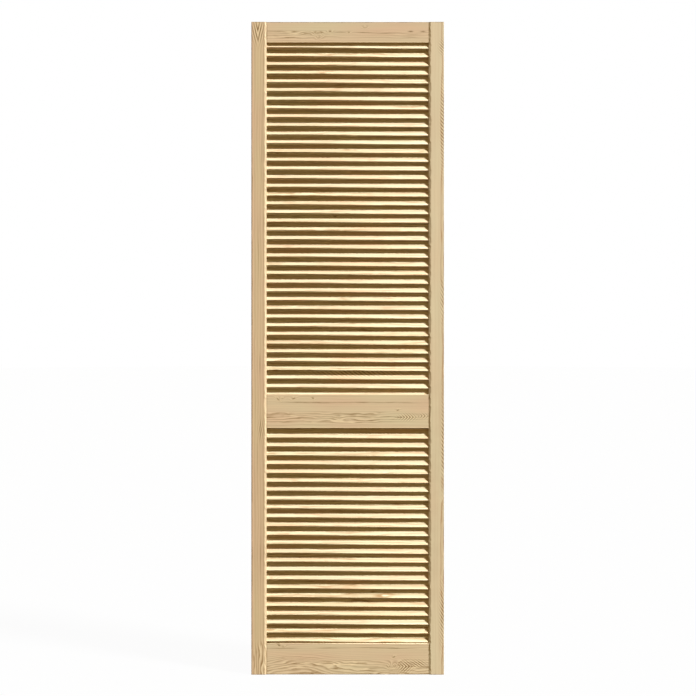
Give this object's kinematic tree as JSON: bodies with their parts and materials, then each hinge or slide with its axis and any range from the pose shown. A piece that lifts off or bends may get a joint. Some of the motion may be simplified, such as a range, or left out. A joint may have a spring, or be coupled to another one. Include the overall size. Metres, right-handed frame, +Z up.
{
  "type": "louvred door",
  "caption": "Tall louvred door leaf in bare pine: two stiles and three rails around an upper and a lower field of fixed closed slats that slope down to the front",
  "frame": {"origin": "middle of the leaf's foot: centred in its width and thickness, level with its lower edge", "axes": "+X across the leaf to the right as seen from the front, +Y from the front face to the back, +Z up the stiles"},
  "size_m": [0.594, 0.021, 2.013],
  "materials": {
    "pine_stiles": "planed and sanded bare pine, unsealed and matt, grain up the stile",
    "pine_rails": "planed and sanded bare pine, unsealed and matt, grain along the rail",
    "pine_slats": "moulded bare pine, unsealed and matt, grain along the slat"
  },
  "bodies": {
    "root": {"lower_slat_01": "pine_slats", "lower_slat_02": "pine_slats", "lower_slat_03": "pine_slats", "lower_slat_04": "pine_slats", "lower_slat_05": "pine_slats", "lower_slat_06": "pine_slats", "lower_slat_07": "pine_slats", "lower_slat_08": "pine_slats", "lower_slat_09": "pine_slats", "lower_slat_10": "pine_slats", "lower_slat_11": "pine_slats", "lower_slat_12": "pine_slats", "lower_slat_13": "pine_slats", "lower_slat_14": "pine_slats", "lower_slat_15": "pine_slats", "lower_slat_16": "pine_slats", "lower_slat_17": "pine_slats", "lower_slat_18": "pine_slats", "lower_slat_19": "pine_slats", "lower_slat_20": "pine_slats", "lower_slat_21": "pine_slats", "lower_slat_22": "pine_slats", "lower_slat_23": "pine_slats", "lower_slat_24": "pine_slats", "rail_bottom": "pine_rails", "rail_mid": "pine_rails", "rail_top": "pine_rails", "stile_left": "pine_stiles", "stile_right": "pine_stiles", "upper_slat_01_02": "pine_slats", "upper_slat_03_04": "pine_slats", "upper_slat_05_06": "pine_slats", "upper_slat_07_08": "pine_slats", "upper_slat_09_10": "pine_slats", "upper_slat_11_12": "pine_slats", "upper_slat_13_14": "pine_slats", "upper_slat_15_16": "pine_slats", "upper_slat_17_18": "pine_slats", "upper_slat_19_20": "pine_slats", "upper_slat_21_22": "pine_slats", "upper_slat_23_24": "pine_slats", "upper_slat_25_26": "pine_slats", "upper_slat_27_28": "pine_slats", "upper_slat_29_30": "pine_slats", "upper_slat_31_32": "pine_slats", "upper_slat_33_34": "pine_slats", "upper_slat_35_36": "pine_slats", "upper_slat_37_38": "pine_slats", "upper_slat_39_40": "pine_slats", "upper_slat_41": "pine_slats"}
  },
  "joints": []
}
